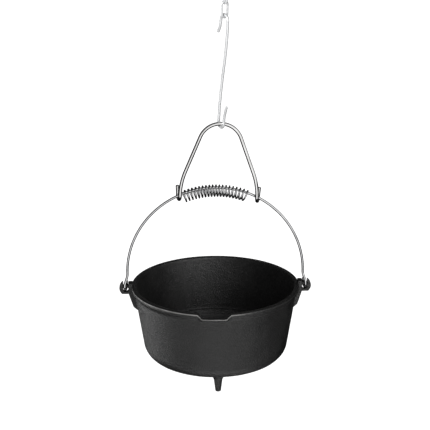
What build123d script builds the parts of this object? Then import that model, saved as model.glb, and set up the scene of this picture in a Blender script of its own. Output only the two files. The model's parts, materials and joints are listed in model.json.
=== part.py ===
"""Hanging camp oven: cast-iron pot on a wire bail, with a spring grip, a rod hanger,
an S-hook and a short chain that ends in a ring.

Millimetres, +Z up, pot front towards -Y.  The origin is where a support bears on the
inside top of the hang ring; everything hangs straight down from it.
"""
import os
from math import atan2, cos, pi, radians, sin, sqrt, tan

from build123d import *

os.makedirs("parts", exist_ok=True)

# ---------------------------------------------------------------- driving dimensions
GAP = 0.25                  # clearance between two round wires that cross squarely
SLANT_GAP = 0.55            # and between two that cross at a slant
TIP_ROUND = 0.25            # rounding of a cut wire end, as a share of the wire
SUNK = 2.0                  # how far a lug, rib or lip reaches into the wall it grows from

RING_WIRE = 5.0
RING_INNER_R = 15.0

LINK_WIRE = 3.5
LINK_INNER_LENGTH = 23.0
LINK_INNER_WIDTH = 8.0
LINK_COUNT = 3

TURN_A = -58.0              # plane of the ring, of link 2 and of the S-hook, from +X
TURN_B = 32.0               # plane of links 3 and 1, square to the others

HOOK_WIRE = 5.0
HOOK_SPAN = 190.5           # between the centre lines of the two bends
HOOK_TOP_R = 10.0           # centre-line radius of each bend
HOOK_LOW_R = 7.5
HOOK_TOP_TIP = 21.0         # length of the free tip past each bend
HOOK_LOW_TIP = 31.0
HOOK_SPLAY = 6.5            # how far each free tip leans away from the shank

HANGER_ROD = 6.4
HANGER_DROP = 268.5         # apex to the centre of the bail's arch
HANGER_APEX_R = 37.5
HANGER_LEG_ANGLE = 21.5     # slope of the straight legs, from vertical
HANGER_HALF = 68.4          # hanger axis to the bottom of each hook
HANGER_U_R = 8.0            # centre-line radius of the hooks
HANGER_TIP = 15.0           # hook tip above the hook's centre
HANGER_TIP_OUT = 1.0        # and how far it leans outwards
HANGER_KNEE = 16.0          # height over which each leg bends round to plumb
HANGER_KNEE_OUT = 2.0       # a leg's straight line, carried on, ends this far inside it
HANGER_KNEE_IN = 8.5        # the bend starts this far inside it
HANGER_SPLAY = 1.9          # half of the tip's sideways offset from its leg
HANGER_LEAN = 0.5           # the hanger leans this much to the right

BAIL_WIRE = 4.5
BAIL_R = 155.5              # centre-line radius of the arch
BAIL_RISE = 21.6            # centre of the arch above the rim
BAIL_TIP = 9.0              # bail tip above the ear bar's centre

GRIP_WIRE = 3.0
GRIP_OUTER_R = 11.0
GRIP_TURNS = 19
GRIP_START = -21.9          # along the arch, degrees right of its top
GRIP_END = 20.9
GRIP_CROWDING = 0.012       # how much closer the end turns stand
POINTS_PER_TURN = 8

POT_LEAN = -1.8             # the pot and bail hang with their right side a little high
RIM_R = 148.6
RIM_HEIGHT = 5.0
RIM_ROUND = 1.4
WALL_TOP_R = 145.5          # the wall's slope, carried up to the rim's plane
WALL_LOW_R = 125.1          # and down to the bottom's plane
POT_DEPTH = 132.2
WALL = 5.5
FLOOR = 6.0
CORNER_R = 28.0
INNER_CORNER_R = 36.0
COVE_Z = -15.0              # where the rim's flare meets the wall
FLARE_SLOPE = 0.35          # outward lean of the flare where it meets the rim
NOTCH_TOP = 58.0
NOTCH_LOW = 40.0
NOTCH_DEPTH = 7.4
NOTCH_TURN = -3.0           # the notch stands slightly left of the front leg
NOTCH_CUT_IN = 25.0         # the cut starts this far inside the rim
NOTCH_CUT_OVER = 2.0        # and is carried this far above it
LIP_WIDTH = 46.0
LIP_HEIGHT = 6.0
LIP_SLOPE = 3.0             # how much narrower each end is at the lip's foot
LIP_OVER = 0.6              # the lip is cut with the notch, from this much above its bottom
LIP_PROUD = 1.5             # beyond the rim
LEG_RADIUS = 103.5          # pot axis to each leg
LEG_TOP_D = 17.0
LEG_FOOT_D = 9.6
LEG_LENGTH = 27.0
LEG_SUNK = 3.0

EAR_THICK = 9.0
EAR_BAR_D = 6.4
EAR_BAR_Z = -2.2            # bar's centre, below the rim
EAR_SLOT_IN = 154.4         # slot for the bail hook, from the pot's axis
EAR_SLOT_OUT = 163.6
EAR_SLOT_LOW = -11.6
EAR_SLOT_CORNER = 3.2
EAR_BAR_SUNK = 1.5
EAR_OVER = 1.8              # the ear rises from this far inside the rim's edge
EAR_SHOULDER = 5.8          # its height between the rim and the slot
EAR_TOP = 7.2               # and beyond the slot
EAR_MID = -5.0              # height of its outermost point
EAR_LOW = -16.0
EAR_OUT = 170.5
EAR_LOW_OUT = 165.5
EAR_LOW_IN = 152.6
RIB_WIDTH = 17.0
RIB_OUT = 154.2
RIB_TOP = 4.6
RIB_SHOULDER = -13.0        # where the rib leaves its upright face
RIB_NECK = -19.0            # and joins the slope down the wall
RIB_LOW = -45.0
RIB_TOE = 6.0               # height of the rounded-in lower end
RIB_PROUD = 7.5             # beyond the wall, above the toe
RIB_LOW_PROUD = 1.0         # and at its lowest point
BAIL_LEG_X = 160.6          # bail leg in front of the ear bar
BAIL_TIP_X = 157.4          # bail tip behind it

# ---------------------------------------------------------------- heights down the chain
LINK_LENGTH = LINK_INNER_LENGTH + LINK_WIRE         # between the end wires' centres
ring_low_z = -RING_INNER_R * 2 - RING_WIRE / 2
link_top_z = [ring_low_z + (RING_WIRE + LINK_WIRE) / 2 + GAP]
for _ in range(LINK_COUNT - 1):
    link_top_z.append(link_top_z[-1] - LINK_LENGTH + LINK_WIRE + GAP)
chain_low_z = link_top_z[-1] - LINK_LENGTH
hook_top_z = chain_low_z + (LINK_WIRE + HOOK_WIRE) / 2 + GAP
hook_low_z = hook_top_z - HOOK_SPAN
apex_z = hook_low_z + (HOOK_WIRE + HANGER_ROD) / 2 + SLANT_GAP
arch_x = -HANGER_DROP * sin(radians(HANGER_LEAN))
arch_z = apex_z - HANGER_DROP * cos(radians(HANGER_LEAN))

# the hanger, and the bail with the pot, each lean about the centre of the bail's arch
HANGER_FRAME = Plane((arch_x, 0, arch_z), x_dir=(cos(radians(HANGER_LEAN)), 0, -sin(radians(HANGER_LEAN))),
                     z_dir=(sin(radians(HANGER_LEAN)), 0, cos(radians(HANGER_LEAN))))
BAIL_FRAME = Plane((arch_x, 0, arch_z), x_dir=(cos(radians(POT_LEAN)), 0, -sin(radians(POT_LEAN))),
                   z_dir=(sin(radians(POT_LEAN)), 0, cos(radians(POT_LEAN))))
POT_FRAME = Plane(BAIL_FRAME.from_local_coords((0, 0, -BAIL_RISE)), x_dir=BAIL_FRAME.x_dir,
                  z_dir=BAIL_FRAME.z_dir)


def plane_facing(turn, z=0.0):
    """Upright plane through the hanging line: local x points along the turn, local y up."""
    along = (cos(radians(turn)), sin(radians(turn)), 0)
    across = (sin(radians(turn)), -cos(radians(turn)), 0)
    return Plane((0, 0, z), x_dir=along, z_dir=across)


# ---------------------------------------------------------------- hang ring
with BuildPart() as hang_ring:
    ring_plane = plane_facing(TURN_A, -RING_INNER_R)
    with BuildLine(ring_plane) as ring_path:
        CenterArc((0, 0), RING_INNER_R + RING_WIRE / 2, 90, 360)
    with BuildSketch(Plane(ring_path.wires()[0] @ 0, z_dir=ring_path.wires()[0] % 0)):
        Circle(RING_WIRE / 2)
    sweep(path=ring_path.wires()[0])
hang_ring.part.label = "hang_ring"
export_step(hang_ring.part, "parts/hang_ring.step")

# ---------------------------------------------------------------- chain links
for i in range(LINK_COUNT):
    bend_r = (LINK_INNER_WIDTH + LINK_WIRE) / 2
    side = LINK_LENGTH - 2 * bend_r
    link_plane = plane_facing(TURN_B if i % 2 == 0 else TURN_A, link_top_z[i] - LINK_LENGTH / 2)
    with BuildPart() as chain_link:
        with BuildLine(link_plane) as link_path:
            Line((bend_r, -side / 2), (bend_r, side / 2))
            ThreePointArc((bend_r, side / 2), (0, side / 2 + bend_r), (-bend_r, side / 2))
            Line((-bend_r, side / 2), (-bend_r, -side / 2))
            ThreePointArc((-bend_r, -side / 2), (0, -side / 2 - bend_r), (bend_r, -side / 2))
        link_wire = link_path.wires()[0]
        with BuildSketch(Plane(link_wire @ 0, z_dir=link_wire % 0)):
            Circle(LINK_WIRE / 2)
        sweep(path=link_wire)
    chain_link.part.label = f"chain_link_{LINK_COUNT - i}"
    export_step(chain_link.part, f"parts/{chain_link.part.label}.step")

# ---------------------------------------------------------------- S-hook
with BuildPart() as s_hook:
    top_c = (0, hook_top_z - HOOK_TOP_R)
    low_c = (0, hook_low_z + HOOK_LOW_R)
    with BuildLine(plane_facing(TURN_A)) as hook_path:
        top_end = (-HOOK_TOP_R - HOOK_SPLAY, top_c[1] - HOOK_TOP_TIP)
        low_end = (HOOK_LOW_R + HOOK_SPLAY, low_c[1] + HOOK_LOW_TIP)
        Spline(top_end, (-HOOK_TOP_R, top_c[1]), tangents=((HOOK_SPLAY, HOOK_TOP_TIP), (0, 1)))
        ThreePointArc((-HOOK_TOP_R, top_c[1]), (0, hook_top_z), (HOOK_TOP_R, top_c[1]))
        Spline((HOOK_TOP_R, top_c[1]), (-HOOK_LOW_R, low_c[1]), tangents=((0, -1), (0, -1)))
        ThreePointArc((-HOOK_LOW_R, low_c[1]), (0, hook_low_z), (HOOK_LOW_R, low_c[1]))
        Spline((HOOK_LOW_R, low_c[1]), low_end, tangents=((0, 1), (HOOK_SPLAY, HOOK_LOW_TIP)))
    hook_wire = hook_path.wires()[0]
    with BuildSketch(Plane(hook_wire @ 0, z_dir=hook_wire % 0)):
        Circle(HOOK_WIRE / 2)
    sweep(path=hook_wire)
    tips = s_hook.faces().filter_by(GeomType.PLANE)
    fillet(tips.edges(), HOOK_WIRE * TIP_ROUND)
s_hook.part.label = "s_hook"
export_step(s_hook.part, "parts/s_hook.step")

# ---------------------------------------------------------------- pot hanger
# The rod comes down in front of the bail, passes under it and ends behind it.
bail_at_hook = sqrt(BAIL_R**2 - HANGER_HALF**2)
bail_slope = atan2(HANGER_HALF, bail_at_hook)
hook_bottom = bail_at_hook - (BAIL_WIRE + HANGER_ROD) / 2 / cos(bail_slope) - SLANT_GAP
u_z = hook_bottom + HANGER_U_R
leg_angle = radians(HANGER_LEG_ANGLE)
shoulder_x = HANGER_APEX_R * cos(leg_angle)
shoulder_z = HANGER_DROP - HANGER_APEX_R * (1 - sin(leg_angle))
leg_top_x = HANGER_HALF - HANGER_SPLAY
knee_z = shoulder_z - (leg_top_x - HANGER_KNEE_OUT - shoulder_x) / tan(leg_angle)
bend_z = knee_z + HANGER_KNEE


def rod_y(z):
    """The hanger's plane tips from the apex, over the bail, to the legs in front of it."""
    return -HANGER_U_R * (HANGER_DROP - z) / (HANGER_DROP - u_z)


def hanger_point(side, x, y, z):
    return HANGER_FRAME.from_local_coords((side * x, y, z))


with BuildPart() as pot_hanger:
    with BuildLine() as rod_path:
        ThreePointArc(hanger_point(-1, shoulder_x, rod_y(shoulder_z), shoulder_z),
                      hanger_point(1, 0, 0, HANGER_DROP),
                      hanger_point(1, shoulder_x, rod_y(shoulder_z), shoulder_z))
        for side in (-1, 1):
            shoulder = hanger_point(side, shoulder_x, rod_y(shoulder_z), shoulder_z)
            bend_top = hanger_point(side, leg_top_x - HANGER_KNEE_IN, rod_y(bend_z), bend_z)
            leg_low = hanger_point(side, leg_top_x, -HANGER_U_R, u_z)
            tip_low = hanger_point(side, HANGER_HALF + HANGER_SPLAY, HANGER_U_R, u_z)
            tip_out = HANGER_HALF + HANGER_SPLAY + HANGER_TIP_OUT
            tip_end = hanger_point(side, tip_out, HANGER_U_R, u_z + HANGER_TIP)
            bottom = hanger_point(side, HANGER_HALF, 0, hook_bottom)
            down = HANGER_FRAME.z_dir * -1
            Line(shoulder, bend_top)
            Spline(bend_top, leg_low, tangents=(bend_top - shoulder, down))
            ThreePointArc(leg_low, bottom, tip_low)
            Line(tip_low, tip_end)
    rod_wire = rod_path.wires()[0]
    with BuildSketch(Plane(rod_wire @ 0, z_dir=rod_wire % 0)):
        Circle(HANGER_ROD / 2)
    sweep(path=rod_wire)
    tips = pot_hanger.faces().filter_by(GeomType.PLANE)
    fillet(tips.edges(), HANGER_ROD * TIP_ROUND)
pot_hanger.part.label = "pot_hanger"
export_step(pot_hanger.part, "parts/pot_hanger.step")

# ---------------------------------------------------------------- bail
# Its ends hook under the ear bars from the front and finish behind them.
ear_bar_z = EAR_BAR_Z - BAIL_RISE
ear_hook_r = (EAR_BAR_D + BAIL_WIRE) / 2 + GAP


def bail_point(x, y, z):
    return BAIL_FRAME.from_local_coords((x, y, z))


with BuildPart() as bail:
    with BuildLine() as bail_path:
        ThreePointArc(bail_point(-BAIL_R, 0, 0), bail_point(0, 0, BAIL_R), bail_point(BAIL_R, 0, 0))
        for side in (-1, 1):
            leg_low = bail_point(side * BAIL_LEG_X, -ear_hook_r, ear_bar_z)
            tip_low = bail_point(side * BAIL_TIP_X, ear_hook_r, ear_bar_z)
            bottom = bail_point(side * (BAIL_LEG_X + BAIL_TIP_X) / 2, 0, ear_bar_z - ear_hook_r)
            tip_end = bail_point(side * BAIL_TIP_X, ear_hook_r, ear_bar_z + BAIL_TIP)
            down = BAIL_FRAME.z_dir * -1
            Spline(bail_point(side * BAIL_R, 0, 0), leg_low, tangents=(down, down))
            ThreePointArc(leg_low, bottom, tip_low)
            Line(tip_low, tip_end)
    bail_wire = bail_path.wires()[0]
    with BuildSketch(Plane(bail_wire @ 0, z_dir=bail_wire % 0)):
        Circle(BAIL_WIRE / 2)
    sweep(path=bail_wire)
    tips = bail.faces().filter_by(GeomType.PLANE)
    fillet(tips.edges(), BAIL_WIRE * TIP_ROUND)
bail.part.label = "bail"
export_step(bail.part, "parts/bail.step")

# ---------------------------------------------------------------- spring grip
# A coil bent along the arch.  It hangs on the bail, so its axis is lower than the wire.
coil_r = GRIP_OUTER_R - GRIP_WIRE / 2
coil_axis_r = BAIL_R + BAIL_WIRE / 2 + GAP - (GRIP_OUTER_R - GRIP_WIRE)


def coil_point(turn):
    """Point of the coil after this many turns, with closer turns towards both ends."""
    share = turn / GRIP_TURNS
    share += GRIP_CROWDING * sin(2 * pi * share)
    along = radians(GRIP_START + (GRIP_END - GRIP_START) * share)
    around = 2 * pi * turn
    reach = coil_axis_r + coil_r * cos(around)
    return BAIL_FRAME.from_local_coords((reach * sin(along), coil_r * sin(around), reach * cos(along)))


with BuildPart() as spring_grip:
    with BuildLine() as coil_path:
        Spline(*[coil_point(k / POINTS_PER_TURN) for k in range(GRIP_TURNS * POINTS_PER_TURN + 1)])
    coil_wire = coil_path.wires()[0]
    with BuildSketch(Plane(coil_wire @ 0, z_dir=coil_wire % 0)):
        Circle(GRIP_WIRE / 2)
    sweep(path=coil_wire)
spring_grip.part.label = "spring_grip"
export_step(spring_grip.part, "parts/spring_grip.step")

# ---------------------------------------------------------------- pot
wall_slope = (WALL_TOP_R - WALL_LOW_R) / POT_DEPTH


def wall_r(z):
    """Outer radius of the tapered wall at a height below the rim."""
    return WALL_TOP_R + wall_slope * z


pot_front = Plane(POT_FRAME.origin, x_dir=POT_FRAME.x_dir, z_dir=(0, -1, 0))
pot_axis = Axis(POT_FRAME.origin, POT_FRAME.z_dir)

with BuildPart() as pot:
    # bowl: flared rim, tapered wall, rounded corner and a flat floor
    with BuildSketch(pot_front):
        with BuildLine():
            cove = (wall_r(COVE_Z), COVE_Z)
            FilletPolyline((0, -POT_DEPTH), (WALL_LOW_R, -POT_DEPTH), cove, radius=CORNER_R)
            Spline(cove, (RIM_R, -RIM_HEIGHT), tangents=((wall_slope, 1), (FLARE_SLOPE, 1)))
            inner_top = (wall_r(-RIM_HEIGHT) - WALL, -RIM_HEIGHT)
            inner_low = (wall_r(FLOOR - POT_DEPTH) - WALL, FLOOR - POT_DEPTH)
            FilletPolyline((RIM_R, -RIM_HEIGHT), (RIM_R, 0), (wall_r(0) - WALL, 0), inner_top,
                           radius=RIM_ROUND)
            FilletPolyline(inner_top, inner_low, (0, FLOOR - POT_DEPTH), radius=INNER_CORNER_R)
            Line((0, FLOOR - POT_DEPTH), (0, -POT_DEPTH))
        make_face()
    revolve(axis=pot_axis)

    # three tapered feet, one at the front
    foot_plane = Plane(POT_FRAME.from_local_coords((0, 0, -POT_DEPTH - LEG_LENGTH)),
                       x_dir=POT_FRAME.x_dir, z_dir=POT_FRAME.z_dir)
    foot_angles = (-90, 30, 150)
    for angle in foot_angles:
        spot = (LEG_RADIUS * cos(radians(angle)), LEG_RADIUS * sin(radians(angle)))
        with BuildSketch(foot_plane):
            with Locations(spot):
                Circle(LEG_FOOT_D / 2)
        with BuildSketch(foot_plane.offset(LEG_LENGTH + LEG_SUNK)):
            with Locations(spot):
                Circle(LEG_TOP_D / 2)
        loft()

    # ears: an upright lug with a slot, a rib down the wall, and the bar across the slot
    ear_in = RIM_R - EAR_OVER
    slot_width = EAR_SLOT_OUT - EAR_SLOT_IN
    for side in (-1, 1):
        with BuildSketch(pot_front.offset(-EAR_THICK / 2)):
            with BuildLine():
                ThreePointArc((side * EAR_SLOT_OUT, EAR_TOP), (side * EAR_OUT, EAR_MID),
                              (side * EAR_LOW_OUT, EAR_LOW))
                Polyline((side * EAR_LOW_OUT, EAR_LOW), (side * EAR_LOW_IN, EAR_LOW),
                         (side * (wall_r(COVE_Z) - SUNK), RIB_NECK),
                         (side * (wall_r(COVE_Z) - SUNK), COVE_Z),
                         (side * (RIM_R - SUNK), -RIM_ROUND), (side * ear_in, -RIM_ROUND),
                         (side * ear_in, EAR_SHOULDER), (side * EAR_SLOT_IN, EAR_SHOULDER),
                         (side * EAR_SLOT_OUT, EAR_TOP))
            make_face()
        extrude(amount=EAR_THICK)
        with BuildSketch(pot_front.offset(-RIB_WIDTH / 2)):
            with BuildLine():
                Polyline((side * (wall_r(RIB_LOW) - SUNK), RIB_LOW),
                         (side * (wall_r(RIB_LOW) + RIB_LOW_PROUD), RIB_LOW),
                         (side * (wall_r(RIB_LOW) + RIB_PROUD), RIB_LOW + RIB_TOE),
                         (side * EAR_LOW_IN, RIB_NECK), (side * RIB_OUT, RIB_SHOULDER),
                         (side * RIB_OUT, RIB_TOP), (side * ear_in, RIB_TOP),
                         (side * ear_in, -RIM_ROUND), (side * (RIM_R - SUNK), -RIM_ROUND),
                         (side * (wall_r(COVE_Z) - SUNK), COVE_Z), close=True)
            make_face()
        extrude(amount=RIB_WIDTH)
        slot_mid = side * (EAR_SLOT_IN + EAR_SLOT_OUT) / 2
        with BuildSketch(pot_front.offset(-RIB_WIDTH)):
            with Locations((slot_mid, EAR_SLOT_LOW / 2 + EAR_TOP)):
                RectangleRounded(slot_width, 2 * EAR_TOP - EAR_SLOT_LOW, EAR_SLOT_CORNER)
        extrude(amount=2 * RIB_WIDTH, mode=Mode.SUBTRACT)
        bar_plane = Plane(POT_FRAME.from_local_coords((slot_mid, 0, EAR_BAR_Z)),
                          x_dir=(0, 1, 0), z_dir=POT_FRAME.x_dir)
        with BuildSketch(bar_plane):
            Circle(EAR_BAR_D / 2)
        extrude(amount=slot_width / 2 + EAR_BAR_SUNK, both=True)

    # pouring notch, with a slightly raised lip below it
    outward = POT_FRAME.x_dir * sin(radians(NOTCH_TURN)) - POT_FRAME.y_dir * cos(radians(NOTCH_TURN))
    sideways = POT_FRAME.x_dir * cos(radians(NOTCH_TURN)) + POT_FRAME.y_dir * sin(radians(NOTCH_TURN))
    notch_plane = Plane(POT_FRAME.origin, x_dir=sideways, z_dir=outward)
    lip_top = LIP_OVER - NOTCH_DEPTH
    lip_in = wall_r(COVE_Z) - SUNK
    with BuildSketch(notch_plane.offset(lip_in)):
        with BuildLine():
            Polyline((-LIP_WIDTH / 2, lip_top), (LIP_SLOPE - LIP_WIDTH / 2, lip_top - LIP_HEIGHT),
                     (LIP_WIDTH / 2 - LIP_SLOPE, lip_top - LIP_HEIGHT), (LIP_WIDTH / 2, lip_top), close=True)
        make_face()
    extrude(amount=RIM_R + LIP_PROUD - lip_in)
    cut_half = NOTCH_TOP / 2 + NOTCH_CUT_OVER
    with BuildSketch(notch_plane.offset(RIM_R - NOTCH_CUT_IN)):
        with BuildLine():
            Polyline((-cut_half, NOTCH_CUT_OVER), (-NOTCH_TOP / 2, 0), (-NOTCH_LOW / 2, -NOTCH_DEPTH),
                     (NOTCH_LOW / 2, -NOTCH_DEPTH), (NOTCH_TOP / 2, 0), (cut_half, NOTCH_CUT_OVER),
                     close=True)
        make_face()
    extrude(amount=2 * NOTCH_CUT_IN, mode=Mode.SUBTRACT)
pot.part.label = "pot"
export_step(pot.part, "parts/pot.step")
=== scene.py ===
import json
from math import atan, cos, degrees, hypot, pi, radians, sin, tan

import bpy
from mathutils import Matrix, Vector, noise


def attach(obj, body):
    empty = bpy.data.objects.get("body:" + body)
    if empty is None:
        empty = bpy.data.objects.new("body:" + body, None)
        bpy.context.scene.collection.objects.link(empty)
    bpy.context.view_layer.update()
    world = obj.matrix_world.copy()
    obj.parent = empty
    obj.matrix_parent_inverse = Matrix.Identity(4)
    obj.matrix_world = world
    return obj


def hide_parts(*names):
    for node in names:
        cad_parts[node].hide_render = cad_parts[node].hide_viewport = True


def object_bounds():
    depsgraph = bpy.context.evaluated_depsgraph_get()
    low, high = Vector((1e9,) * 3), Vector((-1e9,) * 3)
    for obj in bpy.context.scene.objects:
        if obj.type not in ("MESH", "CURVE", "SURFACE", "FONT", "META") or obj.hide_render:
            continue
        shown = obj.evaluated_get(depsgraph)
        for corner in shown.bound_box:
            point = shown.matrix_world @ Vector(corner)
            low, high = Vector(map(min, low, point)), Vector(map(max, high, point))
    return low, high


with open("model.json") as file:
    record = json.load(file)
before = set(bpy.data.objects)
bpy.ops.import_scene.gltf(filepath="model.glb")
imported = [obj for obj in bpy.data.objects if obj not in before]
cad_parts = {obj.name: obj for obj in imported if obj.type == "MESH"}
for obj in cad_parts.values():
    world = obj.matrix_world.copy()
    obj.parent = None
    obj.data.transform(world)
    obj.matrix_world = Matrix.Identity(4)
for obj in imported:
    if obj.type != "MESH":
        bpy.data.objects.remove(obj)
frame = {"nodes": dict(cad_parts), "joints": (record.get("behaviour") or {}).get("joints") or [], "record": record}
cad_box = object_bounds()
joints = {j["name"]: j for j in frame["joints"]}
subparts = frame["record"]["subparts"]
MM = 0.001

# ---------------------------------------------------------------- the pot's own frame
# The pot leans a little with its bail: its x axis is the line of the two ear bars.
BAR_DROP = 2.2 * MM             # ear bars below the rim
tip = joints["pot_tip"]
pot_x = Vector(tip["axis"]).normalized()
pot_z = pot_x.cross(Vector((0, 1, 0))).normalized()
rim_centre = Vector(tip["pos_m"]) + pot_z * BAR_DROP
POT = Matrix.Translation(rim_centre) @ Matrix((pot_x, (0, 1, 0), pot_z)).transposed().to_4x4()

# sizes of the casting, in millimetres of that frame
RIM_R = 148.6
RIM_HEIGHT = 5.0
RIM_ROUND = 1.5
EDGE_Z = -1.7                   # the rim's outer edge, where the seasoning wears off and a highlight is painted on
WALL_TOP_R = 145.5
DEPTH = 132.2
SLOPE = (WALL_TOP_R - 125.1) / DEPTH
WALL = 5.5
FLOOR = 6.0
CORNER_R = 28.0
INNER_CORNER_R = 36.0
COVE_Z = -15.0
FLARE_SLOPE = 0.35              # how far the flare leans out where it meets the rim
FLARE_STEPS = 9
RIDGES = (-98.0, -106.0)        # two faint cast rings low on the inner wall
RIDGE_HEIGHT = 0.7
RIDGE_WIDTH = 1.1
NOTCH_AT = radians(-93)
NOTCH_TOP = 29.0                # half widths
NOTCH_LOW = 20.0
NOTCH_DEPTH = 7.4
NOTCH_FOOT_Z = -16.0            # the rim is pressed down between here and its top
LIP_HALF = 23.0
LIP_PROUD = 1.4
LIP_LOW_Z, LIP_FULL_Z = -11.5, -9.0     # the lip grows between these heights
LIP_IN_R, LIP_FULL_R = RIM_R - 7, RIM_R - 4     # and between these radii
BROAD_SWELL, BROAD_SIZE = 0.10, 17      # unevenness of the casting
FINE_SWELL, FINE_SIZE = 0.05, 5
# where the rim's outer edge is painted lighter: worn seasoning, plus a painted highlight at the front left where
# the light catches the edge
WEAR_AND_HIGHLIGHT_AT = radians(-125)
WEAR_AND_HIGHLIGHT_FULL, WEAR_AND_HIGHLIGHT_END = radians(38), radians(62)
WEAR_AND_HIGHLIGHT_LEAST = 0.04
WEAR_AND_HIGHLIGHT_IN, WEAR_AND_HIGHLIGHT_OUT = 0.4, 1.1            # from the rim's edge
LEG_RADIUS = 103.5
LEG_LENGTH = 27.0
LEG_TOP_R = 8.1
LEG_FOOT_R = 4.8
LEG_FACE_R = LEG_FOOT_R - 1.8   # flat underneath
LEG_ROUND = 1.2
LEG_SUNK = 4.0                  # into the bottom
LEG_FLARE = 7.0
LEG_ANGLES = (-90, 30, 150)


def smooth(low, high, x):
    """0 below low, 1 above high, with an even S between them."""
    t = min(1.0, max(0.0, (x - low) / (high - low)))
    return t * t * (3 - 2 * t)


def wall_r(z):
    """Outer radius of the tapered wall at a height."""
    return WALL_TOP_R + SLOPE * z


def steps(a, b, count):
    """Points from a towards b, without b."""
    return [(a[0] + (b[0] - a[0]) * k / count, a[1] + (b[1] - a[1]) * k / count) for k in range(count)]


def arc(centre, radius, start, end, count):
    """Points along an arc, without its last one; degrees."""
    turn = [radians(start + (end - start) * k / count) for k in range(count)]
    return [(centre[0] + radius * cos(a), centre[1] + radius * sin(a)) for a in turn]


def turned_faces(rings, count):
    """Faces between rings of count points each, closed by a first and a last point on the axis."""
    faces = []
    for c in range(count):
        n = (c + 1) % count
        faces.append((0, 1 + n, 1 + c))
        for k in range(rings - 1):
            a = 1 + k * count
            faces.append((a + c, a + n, a + count + n, a + count + c))
        last = 1 + (rings - 1) * count
        faces.append((last + c, last + n, last + count))
    return faces


def mesh_piece(name, mesh, material, body):
    """A smooth-shaded piece from a mesh in millimetres of the pot's frame."""
    mesh.transform(POT @ Matrix.Scale(MM, 4))
    mesh.name = name
    mesh.shade_smooth()
    mesh.materials.clear()
    mesh.materials.append(material)
    obj = bpy.data.objects.new(name, mesh)
    bpy.context.scene.collection.objects.link(obj)
    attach(obj, body)
    return obj


# ---------------------------------------------------------------- materials
def node_maker(tree):
    """A function that adds a node to the emptied tree, with inputs that are linked or set."""
    tree.nodes.clear()

    def node(kind, inputs=None, **settings):
        made = tree.nodes.new(kind)
        for key, value in settings.items():
            setattr(made, key, value)
        for key, value in (inputs or {}).items():
            if isinstance(value, bpy.types.NodeSocket):
                tree.links.new(value, made.inputs[key])
            else:
                made.inputs[key].default_value = value
        return made

    return node


def shader(name):
    """A material with one Principled shader; returns the material, a node maker and the shader."""
    material = bpy.data.materials.new(name)
    material.use_nodes = True
    node = node_maker(material.node_tree)
    surface = node("ShaderNodeBsdfPrincipled")
    node("ShaderNodeOutputMaterial", {"Surface": surface.outputs[0]})
    return material, node, surface


def ramp(node, source, stops):
    """A colour ramp over a value; stops are (position, grey or colour)."""
    made = node("ShaderNodeValToRGB", {"Fac": source})
    elements = made.color_ramp.elements
    while len(elements) < len(stops):
        elements.new(0.5)
    for element, (position, colour) in zip(elements, stops):
        element.position = position
        element.color = (*colour, 1) if isinstance(colour, tuple) else (colour, colour, colour, 1)
    return made.outputs["Color"]


def spots(node, scale, detail=2.0, roughness=0.5):
    """Noise over the object's own space; scale is in features per metre."""
    where = node("ShaderNodeTexCoord").outputs["Object"]
    made = node("ShaderNodeTexNoise", {"Vector": where, "Scale": scale, "Detail": detail,
                                       "Roughness": roughness})
    return made.outputs["Fac"]


def blend(node, share, first, second, how="MIX"):
    """Two colours joined; share is how much of the second."""
    inputs = {"Factor": share, "A": first, "B": second}
    return node("ShaderNodeMix", inputs, data_type="RGBA", blend_type=how).outputs["Result"]


def bump(node, height, strength, distance, under=None):
    """Relief from a height, over the relief under it; distance is in metres."""
    inputs = {"Height": height, "Strength": strength, "Distance": distance}
    if under is not None:
        inputs["Normal"] = under
    return node("ShaderNodeBump", inputs).outputs[0]


def dress(material, surface, colour, gloss, relief):
    """Joins a surface's colour, roughness and relief to its shader."""
    links = material.node_tree.links
    links.new(colour, surface.inputs["Base Color"])
    links.new(gloss, surface.inputs["Roughness"])
    links.new(relief, surface.inputs["Normal"])


def cast_iron():
    """Seasoned iron from a sand mould: fine grain, a few pits, oil cured darker and shinier in patches."""
    material, node, surface = shader("seasoned_cast_iron")
    patches = spots(node, 22, 4, 0.6)
    grain = spots(node, 430, 3, 0.65)
    sand = spots(node, 1700, 1, 0.5)
    swell = spots(node, 60, 2, 0.5)
    where = node("ShaderNodeTexCoord").outputs["Object"]
    pits = node("ShaderNodeTexVoronoi", {"Vector": where, "Scale": 260.0, "Randomness": 1.0})
    pit_mask = ramp(node, pits.outputs["Distance"], ((0.06, 0.0), (0.2, 1.0)))
    oiled = ramp(node, patches, ((0.35, (0.0050, 0.0050, 0.0051)), (0.68, (0.0095, 0.0094, 0.0092))))
    speck = ramp(node, grain, ((0.42, 0.72), (0.66, 1.3)))
    tinted = blend(node, 1.0, oiled, speck, "MULTIPLY")
    # the rim's outer edge is painted light grey where the bowl marks it: worn seasoning, and a painted highlight
    # at the front left where the light catches the edge
    rim_wear_and_highlight = node("ShaderNodeAttribute", attribute_name="edge_wear_and_highlight").outputs["Fac"]
    patchy = ramp(node, swell, ((0.3, 0.35), (0.7, 1.0)))
    rub_and_highlight = node("ShaderNodeMath", {0: rim_wear_and_highlight, 1: patchy}, operation="MULTIPLY")
    tinted = blend(node, rub_and_highlight.outputs[0], tinted, (0.26, 0.256, 0.25, 1))
    gloss = ramp(node, patches, ((0.3, 0.32), (0.75, 0.46)))
    gloss = blend(node, 0.35, gloss, ramp(node, grain, ((0.3, 0.28), (0.7, 0.62))))
    relief = bump(node, swell, 0.35, 0.0012)
    relief = bump(node, pit_mask, 0.25, 0.0003, relief)
    relief = bump(node, grain, 0.7, 0.0016, relief)
    relief = bump(node, sand, 0.3, 0.0003, relief)
    dress(material, surface, tinted, gloss, relief)
    surface.inputs["Specular IOR Level"].default_value = 0.45
    return material


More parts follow.
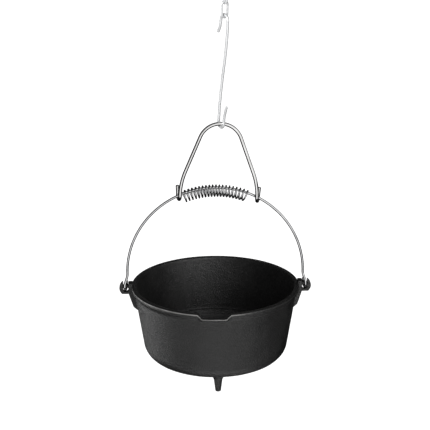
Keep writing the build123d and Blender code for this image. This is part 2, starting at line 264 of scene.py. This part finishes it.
def bright_metal(name, tone, dull, rough, scratch):
    """Plated wire: tone where clean and dull where smudged, with a roughness range and faint draw marks."""
    material, node, surface = shader(name)
    smudge = spots(node, 45, 4, 0.65)
    mark = spots(node, 1400, 2, 0.6)
    where = node("ShaderNodeTexCoord").outputs["Object"]
    stretched = node("ShaderNodeMapping", {"Vector": where, "Scale": (1.0, 1.0, 0.12)})
    drawn = node("ShaderNodeTexNoise", {"Vector": stretched.outputs[0], "Scale": 2600.0, "Detail": 2.0})
    colour = ramp(node, smudge, ((0.35, dull), (0.6, tone)))
    gloss = blend(node, 0.4, ramp(node, smudge, ((0.3, rough[1]), (0.7, rough[0]))),
                  ramp(node, mark, ((0.35, rough[0]), (0.75, rough[1]))))
    relief = bump(node, drawn.outputs["Fac"], scratch, 0.0001)
    relief = bump(node, mark, scratch, 0.00015, relief)
    dress(material, surface, colour, gloss, relief)
    surface.inputs["Metallic"].default_value = 1.0
    return material


def zinc_plate():
    """Dipped zinc: pale grey with a soft crystalline spangle and a little white bloom."""
    material, node, surface = shader("pale_zinc")
    where = node("ShaderNodeTexCoord").outputs["Object"]
    spangle = node("ShaderNodeTexVoronoi", {"Vector": where, "Scale": 330.0})
    bloom = spots(node, 120, 3, 0.6)
    crystal = ramp(node, spangle.outputs["Color"], ((0.1, (0.76, 0.77, 0.78)), (0.9, (0.88, 0.885, 0.89))))
    pale = blend(node, ramp(node, bloom, ((0.45, 0.0), (0.8, 0.6))), crystal, (0.92, 0.92, 0.92, 1))
    gloss = ramp(node, spangle.outputs["Color"], ((0.1, 0.30), (0.9, 0.44)))
    relief = bump(node, bloom, 0.3, 0.0003)
    relief = bump(node, spots(node, 1500, 2, 0.6), 0.25, 0.0002, relief)
    dress(material, surface, pale, gloss, relief)
    surface.inputs["Metallic"].default_value = 0.5
    return material


iron = cast_iron()
wire = bright_metal("bright_wire", (0.74, 0.74, 0.745), (0.58, 0.58, 0.59), (0.04, 0.10), 0.06)
rod = bright_metal("bright_rod", (0.86, 0.858, 0.85), (0.74, 0.735, 0.725), (0.04, 0.10), 0.06)
zinc = zinc_plate()
finishes = {"iron": iron, "bright_wire": wire, "bright_rod": rod, "zinc": zinc}
for part in subparts:
    obj = frame["nodes"][part["node"]]
    obj.data.materials.clear()
    obj.data.materials.append(finishes[part["material_slot"]])


# ---------------------------------------------------------------- the casting's bowl
def corner(low_r, low_z, radius, count):
    """Rounded corner between a floor and the tapered wall, from the floor up."""
    turn = atan(SLOPE)
    reach = radius / tan((pi / 2 + turn) / 2)
    return arc((low_r - reach, low_z + radius), radius, -90, -degrees(turn), count), low_r - reach


def bowl_profile():
    """(radius, height) from the middle of the underside, over the rim, to the middle of the floor.

    The last number of each stretch is how many points it has.
    """
    round_out, flat_out = corner(wall_r(-DEPTH), -DEPTH, CORNER_R, 18)
    points = steps((0, -DEPTH), (flat_out, -DEPTH), 12) + round_out
    cove = (wall_r(COVE_Z), COVE_Z)
    points += steps(points[-1], cove, 26)[1:]
    flare_h = -RIM_HEIGHT - COVE_Z
    for k in range(FLARE_STEPS):
        t = k / FLARE_STEPS
        rise = (2 * t**3 - 3 * t**2 + 1) * cove[0] + (t**3 - 2 * t**2 + t) * SLOPE * flare_h
        rise += (3 * t**2 - 2 * t**3) * RIM_R + (t**3 - t**2) * FLARE_SLOPE * flare_h
        points.append((rise, COVE_Z + flare_h * t))
    points += steps((RIM_R, -RIM_HEIGHT), (RIM_R, -RIM_ROUND), 4)
    points += arc((RIM_R - RIM_ROUND, -RIM_ROUND), RIM_ROUND, 0, 90, 7)
    inner_r = wall_r(0) - WALL
    points += steps((RIM_R - RIM_ROUND, 0), (inner_r + RIM_ROUND, 0), 5)
    points += arc((inner_r + RIM_ROUND, -RIM_ROUND), RIM_ROUND, 90, 175, 7)
    round_in, flat_in = corner(wall_r(FLOOR - DEPTH) - WALL, FLOOR - DEPTH, INNER_CORNER_R, 60)
    wall_low = round_in[-1]
    points += steps((wall_r(-RIM_ROUND) - WALL, -RIM_ROUND), wall_low, 30)
    middle = (0, FLOOR - DEPTH)
    points += round_in[::-1] + steps((flat_in, FLOOR - DEPTH), middle, 12)[1:] + [middle]
    return points


def notch_share(along):
    """How far down the rim is pressed at a distance along it from the notch's middle."""
    t = min(1.0, max(0.0, (NOTCH_TOP - abs(along)) / (NOTCH_TOP - NOTCH_LOW)))
    return 0.5 * t + 0.5 * smooth(0, 1, t)


def bowl_point(r, z, turn, outside):
    """Where a point of the profile goes at an angle, with notch, lip, ridges and unevenness."""
    facing = turn - NOTCH_AT
    along = r * sin(facing) if cos(facing) > 0 else 2 * RIM_R
    if outside:
        lip = (1 - smooth(LIP_HALF - 2, LIP_HALF + 1, abs(along))) * smooth(LIP_LOW_Z, LIP_FULL_Z, z)
        r += LIP_PROUD * lip * smooth(LIP_IN_R, LIP_FULL_R, r)
    else:
        for ridge in RIDGES:
            r -= RIDGE_HEIGHT * max(0.0, 1 - abs(z - ridge) / RIDGE_WIDTH)
    if z > NOTCH_FOOT_Z:
        z = NOTCH_FOOT_Z + (z - NOTCH_FOOT_Z) * (1 + NOTCH_DEPTH * notch_share(along) / NOTCH_FOOT_Z)
    place = Vector((r * cos(turn), r * sin(turn), z))
    uneven = BROAD_SWELL * noise.noise(place / BROAD_SIZE) + FINE_SWELL * noise.noise(place / FINE_SIZE)
    return place * (1 + uneven / max(40.0, place.length))


def bowl_angles():
    """Columns round the pot, close together at the notch; the steps are in degrees."""
    fine, wide = 0.3, 1.25
    reach = 15.0
    angles = [-reach + fine * k for k in range(int(2 * reach / fine))]
    rest = 360 - 2 * reach
    angles += [reach + rest * k / round(rest / wide) for k in range(round(rest / wide))]
    return [NOTCH_AT + radians(a) for a in angles]


def rubbed_and_highlighted(turn):
    """How far the rim's edge is painted lighter, for worn seasoning and a painted highlight: most at the front
    left, and beside the notch.
    """
    off = (turn - WEAR_AND_HIGHLIGHT_AT + pi) % (2 * pi) - pi
    return WEAR_AND_HIGHLIGHT_LEAST + (1 - WEAR_AND_HIGHLIGHT_LEAST) * (1 - smooth(WEAR_AND_HIGHLIGHT_FULL, WEAR_AND_HIGHLIGHT_END, abs(off)))


def bowl_mesh():
    profile = bowl_profile()
    rim_at = max(range(len(profile)), key=lambda k: (profile[k][1], profile[k][0]))
    angles = bowl_angles()
    count = len(angles)
    verts = [bowl_point(0, profile[0][1], 0, False)]
    edge_wear_and_highlight = [0.0]
    rings = profile[1:-1]
    for k, (r, z) in enumerate(rings, 1):
        outside = k <= rim_at + 2
        # the lighter rim edge, worn seasoning and painted highlight, stored on each point for the iron's colour
        edge = 1 - smooth(WEAR_AND_HIGHLIGHT_IN, WEAR_AND_HIGHLIGHT_OUT, hypot(r - RIM_R, z - EDGE_Z))
        for turn in angles:
            verts.append(bowl_point(r, z, turn, outside))
            edge_wear_and_highlight.append(edge * rubbed_and_highlighted(turn))
    verts.append(bowl_point(0, profile[-1][1], 0, False))
    edge_wear_and_highlight.append(0.0)
    mesh = bpy.data.meshes.new("bowl")
    mesh.from_pydata(verts, [], turned_faces(len(rings), count))
    mesh.attributes.new("edge_wear_and_highlight", "FLOAT", "POINT").data.foreach_set("value", edge_wear_and_highlight)
    return mesh


bowl = mesh_piece("pot_bowl", bowl_mesh(), iron, "pot")
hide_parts("pot")
cast_pieces = [bowl]


# ---------------------------------------------------------------- feet
def foot_mesh(angle):
    """A tapered foot with a rounded end and a flare where it grows out of the bottom."""
    low, flare_from = -DEPTH - LEG_LENGTH, -DEPTH - LEG_FLARE
    profile = [(0.0, low), (LEG_FACE_R, low)]
    profile += arc((LEG_FOOT_R - LEG_ROUND, low + LEG_ROUND), LEG_ROUND, -75, 0, 6)
    rows = 24
    for k in range(rows + 1):
        z = low + LEG_ROUND + (LEG_LENGTH + LEG_SUNK - LEG_ROUND) * k / rows
        flare = max(0.0, z - flare_from) ** 2 * 0.035
        profile.append((LEG_FOOT_R + (LEG_TOP_R - LEG_FOOT_R) * (z - low) / LEG_LENGTH + flare, z))
    profile.append((0.0, LEG_SUNK - DEPTH))
    x, y = LEG_RADIUS * cos(radians(angle)), LEG_RADIUS * sin(radians(angle))
    count = 48
    verts = [(x, y, low)]
    for r, z in profile[1:-1]:
        for c in range(count):
            turn = 2 * pi * c / count
            swell = 1 + 0.012 * noise.noise(Vector((cos(turn), sin(turn), z / 9 + angle)))
            verts.append((x + r * swell * cos(turn), y + r * swell * sin(turn), z))
    verts.append((x, y, profile[-1][1]))
    mesh = bpy.data.meshes.new("foot")
    mesh.from_pydata(verts, [], turned_faces(len(profile) - 2, count))
    return mesh


for name, angle in zip(("front", "right", "left"), LEG_ANGLES):
    cast_pieces.append(mesh_piece(f"pot_foot_{name}", foot_mesh(angle), iron, "pot"))

# ---------------------------------------------------------------- ears
EAR_HALF = 4.5                  # half widths, along the rim
RIB_HALF = 8.5
EAR_TOP = 5.8
RIB_TOP = 4.6
HORN_AT, HORN_R = (156.1, -5.1), 14.4
HORN_FROM, HORN_TO = 58, -49    # degrees
NECK_R, NECK_Z = 152.6, -19
HORN_BASE = (165.5, -16)
RIB_FACE_R, RIB_FACE_Z = 154.2, -13
RIB_FOOT_Z, RIB_HEEL_Z, RIB_PROUD = -45, -39, 6.6
BAR_R = 3.2
BAR_Z = -2.2
BAR_SUNK = 1.5
SLOT_IN, SLOT_OUT, SLOT_LOW, SLOT_CORNER = 154.4, 163.6, -11.6, 3.2
EAR_IN = RIM_R - 1.8
EAR_SUNK = 2.0                  # into the bowl
SHELF_Z = -1.6                  # the ear lies on the rim from here
SADDLE_SUNK, SADDLE_BACK = 0.5, 4.0
SADDLE_IN_R, SADDLE_LOW_Z, SADDLE_TOP_Z = 130, -54, -3
SADDLE_TURN = 9                 # degrees to each side
VOXEL = 0.6
SOFTENING = 9


def prism(verts, faces, outline, half):
    """Adds an outline in x and z, extruded both ways along y."""
    start, count = len(verts), len(outline)
    verts += [(x, -half, z) for x, z in outline] + [(x, half, z) for x, z in outline]
    faces.append(tuple(range(start, start + count)))
    faces.append(tuple(range(start + 2 * count - 1, start + count - 1, -1)))
    for k in range(count):
        n = (k + 1) % count
        faces.append((start + k, start + count + k, start + count + n, start + n))


def ear_lug(verts, faces):
    """Adds the horn with its slot, and the wider rib that carries it."""
    sunk_r = wall_r(COVE_Z) - EAR_SUNK
    slot = [(SLOT_IN, EAR_TOP), (SLOT_IN, SLOT_LOW + SLOT_CORNER)]
    slot += arc((SLOT_IN + SLOT_CORNER, SLOT_LOW + SLOT_CORNER), SLOT_CORNER, 190, 270, 4)
    slot += arc((SLOT_OUT - SLOT_CORNER, SLOT_LOW + SLOT_CORNER), SLOT_CORNER, 270, 350, 4)
    slot += [(SLOT_OUT, SLOT_LOW + SLOT_CORNER)]
    root = [(RIM_R - EAR_SUNK, SHELF_Z), (EAR_IN, SHELF_Z)]
    horn = arc(HORN_AT, HORN_R, HORN_FROM, HORN_TO, 10)
    horn += [HORN_BASE, (NECK_R, HORN_BASE[1]), (sunk_r, NECK_Z), (sunk_r, COVE_Z)]
    prism(verts, faces, horn + root + [(EAR_IN, EAR_TOP)] + slot, EAR_HALF)
    foot_r, heel_r = wall_r(RIB_FOOT_Z), wall_r(RIB_HEEL_Z) + RIB_PROUD
    rib = [(foot_r - EAR_SUNK, RIB_FOOT_Z), (foot_r + 1, RIB_FOOT_Z), (heel_r, RIB_HEEL_Z)]
    rib += [(NECK_R, NECK_Z), (RIB_FACE_R, RIB_FACE_Z), (RIB_FACE_R, RIB_TOP), (EAR_IN, RIB_TOP)]
    prism(verts, faces, rib + root[::-1] + [(sunk_r, COVE_Z)], RIB_HALF)


def ear_bar(verts, faces):
    """Adds the round bar that crosses the slot and carries the bail's end."""
    start, count = len(verts), 24
    for x in (SLOT_IN - BAR_SUNK, SLOT_OUT + BAR_SUNK):
        turns = [2 * pi * c / count for c in range(count)]
        verts += [(x, BAR_R * cos(a), BAR_Z + BAR_R * sin(a)) for a in turns]
    faces.append(tuple(range(start + count - 1, start - 1, -1)))
    faces.append(tuple(range(start + count, start + 2 * count)))
    for c in range(count):
        n = (c + 1) % count
        faces.append((start + c, start + n, start + count + n, start + count + c))


def saddle(verts, faces):
    """Adds a strip of wall that follows the outside of the bowl, just below its surface."""
    profile = [p for p in bowl_profile() if p[0] > SADDLE_IN_R and SADDLE_LOW_Z < p[1] < SADDLE_TOP_Z]
    outside = [p for p in profile if p[0] > wall_r(p[1]) - 1]
    rows, columns, start = len(outside), 13, len(verts)
    for depth in (SADDLE_SUNK, SADDLE_BACK):
        for r, z in outside:
            for c in range(columns):
                turn = radians(-SADDLE_TURN + 2 * SADDLE_TURN * c / (columns - 1))
                verts.append(((r - depth) * cos(turn), (r - depth) * sin(turn), z))
    layer = rows * columns
    for k in range(rows - 1):
        for c in range(columns - 1):
            a = start + k * columns + c
            faces.append((a, a + 1, a + columns + 1, a + columns))
            b = a + layer
            faces.append((b + columns, b + columns + 1, b + 1, b))
    for k in range(rows - 1):
        for c in (0, columns - 1):
            a = start + k * columns + c
            face = (a, a + columns, a + columns + layer, a + layer)
            faces.append(face if c == 0 else face[::-1])
    for c in range(columns - 1):
        for k in (0, rows - 1):
            a = start + k * columns + c
            face = (a, a + layer, a + layer + 1, a + 1)
            faces.append(face if k == 0 else face[::-1])


def ear_mesh(side):
    """Lug, rib, bar and saddle joined and softened as one casting; side is -1 for the left."""
    verts, faces = [], []
    for add in (ear_lug, ear_bar, saddle):
        add(verts, faces)
    verts = [(side * x, y, z) for x, y, z in verts]
    if side < 0:
        faces = [f[::-1] for f in faces]
    rough = bpy.data.meshes.new("ear_rough")
    rough.from_pydata(verts, [], faces)
    obj = bpy.data.objects.new("ear_rough", rough)
    bpy.context.scene.collection.objects.link(obj)
    joined = obj.modifiers.new("join", "REMESH")
    joined.mode = "VOXEL"
    joined.voxel_size = VOXEL
    soften = obj.modifiers.new("soften", "SMOOTH")
    soften.factor = 0.5
    soften.iterations = SOFTENING
    mesh = bpy.data.meshes.new_from_object(obj.evaluated_get(bpy.context.evaluated_depsgraph_get()))
    bpy.data.objects.remove(obj)
    return mesh


for name, side in (("left", -1), ("right", 1)):
    cast_pieces.append(mesh_piece(f"pot_ear_{name}", ear_mesh(side), iron, "pot"))

# ---------------------------------------------------------------- studio
scene = bpy.context.scene
scene.view_settings.view_transform = "Standard"


def level_square(name, z, width):
    """A flat square that isn't part of the object."""
    corners = [(sx * width / 2, sy * width / 2, z) for sx, sy in ((-1, -1), (1, -1), (1, 1), (-1, 1))]
    mesh = bpy.data.meshes.new(name)
    mesh.from_pydata(corners, [], [(0, 1, 2, 3)])
    obj = bpy.data.objects.new(name, mesh)
    scene.collection.objects.link(obj)
    return obj


FLOOR_BELOW = 0.9
FLOOR_WIDTH = 120
floor = level_square("floor", cad_box[0].z - FLOOR_BELOW, FLOOR_WIDTH)
paper, _, surface = shader("pale_floor")
surface.inputs["Base Color"].default_value = (0.9, 0.9, 0.9, 1)
surface.inputs["Roughness"].default_value = 0.9
surface.inputs["Specular IOR Level"].default_value = 0.0
surface.inputs["Emission Color"].default_value = (1, 1, 1, 1)
surface.inputs["Emission Strength"].default_value = 0.6
floor.data.materials.append(paper)
floor.visible_glossy = False     # the room below decides what shiny things mirror

world = bpy.data.worlds.new("studio")
scene.world = world
world.use_nodes = True
room_node = node_maker(world.node_tree)

# What shiny things mirror: a broad light on the viewer's side, one high on the right with a
# dim spread round it, a dim patch straight behind, dark sides and a dark floor.
FRONT = Vector((-0.05, -1.0, -0.02)).normalized()
HIGH_RIGHT = Vector((0.42, -0.9, 0.1)).normalized()
way = room_node("ShaderNodeTexCoord").outputs["Generated"]


def towards(direction):
    """How nearly a mirrored ray points in a direction, from -1 to 1."""
    dot = room_node("ShaderNodeVectorMath", {0: way, 1: direction}, operation="DOT_PRODUCT")
    return dot.outputs["Value"]


def span(value, low, high):
    """A value's place between low and high, from 0 to 1."""
    inputs = {"Value": value, "From Min": low, "From Max": high}
    return room_node("ShaderNodeMapRange", inputs).outputs[0]


def glow(colour, strength):
    return room_node("ShaderNodeBackground", {"Color": colour, "Strength": strength}).outputs[0]


def either(choice, no, yes):
    return room_node("ShaderNodeMixShader", {0: choice, 1: no, 2: yes}).outputs[0]


walls = ramp(room_node, span(towards(FRONT), -1.0, 1.0),
             ((0.0, 0.4), (0.03, 0.3), (0.07, 0.0), (0.87, 0.0), (0.92, 0.98), (1.0, 1.0)))
overhead = ramp(room_node, towards(HIGH_RIGHT),
                ((0.22, 0.01), (0.32, 0.3), (0.66, 0.3), (0.86, 0.95), (1.0, 1.0)))
height = room_node("ShaderNodeSeparateXYZ", {"Vector": way}).outputs["Z"]
upper = blend(room_node, span(height, 0.0, 0.12), walls, overhead)
mirrored = blend(room_node, span(height, -0.5, -0.68), upper, (0.02, 0.02, 0.02, 1))
path = room_node("ShaderNodeLightPath").outputs
seen = either(path["Is Glossy Ray"], glow((1, 1, 1, 1), 0.7), glow(mirrored, 1.12))
shown = either(path["Is Camera Ray"], seen, glow((1, 1, 1, 1), 1.0))
room_node("ShaderNodeOutputWorld", {"Surface": shown})


def lamp_group(name, pieces):
    """Pieces that a lamp can be kept to."""
    group = bpy.data.collections.new(name)
    for obj in pieces:
        group.objects.link(obj)
    return group


casting = lamp_group("casting", cast_pieces)
dipped = lamp_group("dipped", [frame["nodes"][p["node"]] for p in subparts if p["material_slot"] == "zinc"])


def softbox(name, place, aim_rise, width, height, power, lit):
    """A soft lamp on some pieces alone, so that the bright wires mirror only the room.

    Its place is counted from the rim's centre, and it points at a spot aim_rise above that centre.
    """
    light = bpy.data.lights.new(name, "AREA")
    light.shape = "RECTANGLE"
    light.size, light.size_y, light.energy = width, height, power
    obj = bpy.data.objects.new(name, light)
    scene.collection.objects.link(obj)
    place = rim_centre + Vector(place)
    aim = rim_centre + Vector((0, 0, aim_rise))
    obj.location = place
    obj.rotation_mode = "QUATERNION"
    obj.rotation_quaternion = (aim - place).to_track_quat("-Z", "Y")
    obj.light_linking.receiver_collection = lit


WALL_MIDDLE = -0.06
ZINC_MIDDLE = 0.45
softbox("left", (-1.62, -0.05, -0.85), WALL_MIDDLE, 1.7, 0.6, 8, casting)
softbox("left_edge", (-1.3, 0.84, -0.75), WALL_MIDDLE, 0.5, 0.5, 2.6, casting)
softbox("low_front", (0.2, -0.95, -1.65), WALL_MIDDLE, 2.2, 1.2, 4, casting)
softbox("below", (0.1, -0.5, -1.85), WALL_MIDDLE, 2.2, 0.7, 10, casting)
softbox("low_right", (1.5, -0.4, -1.2), WALL_MIDDLE, 1.2, 0.6, 1.0, casting)
softbox("inside", (0.75, -1.6, 0.50), 0, 0.4, 0.9, 17, casting)
softbox("high_left", (-1.3, -1.0, 1.2), ZINC_MIDDLE, 0.9, 0.9, 22, dipped)

# ---------------------------------------------------------------- camera
# Where it stands, seen from the rim's centre, and the direction it looks along; the two differ
# because the pot is below the middle of the frame.
EYE_TURN, EYE_RISE, EYE_DISTANCE = radians(-3.01), radians(20.77), 2.0
AXIS_TURN, AXIS_RISE = radians(-2.88), radians(17.29)
ROLL = radians(1.7)
FOCAL = 93.97


def back_from(turn, rise):
    """Unit vector to a viewer who stands turned right of the front and raised above level."""
    return Vector((sin(turn) * cos(rise), -cos(turn) * cos(rise), sin(rise)))


camera = bpy.data.objects.new("camera", bpy.data.cameras.new("camera"))
scene.collection.objects.link(camera)
scene.camera = camera
camera.data.lens = FOCAL
camera.location = rim_centre + back_from(EYE_TURN, EYE_RISE) * EYE_DISTANCE
camera.rotation_mode = "QUATERNION"
aim = (-back_from(AXIS_TURN, AXIS_RISE)).to_track_quat("-Z", "Y")
camera.rotation_quaternion = aim @ Matrix.Rotation(ROLL, 4, "Z").to_quaternion()
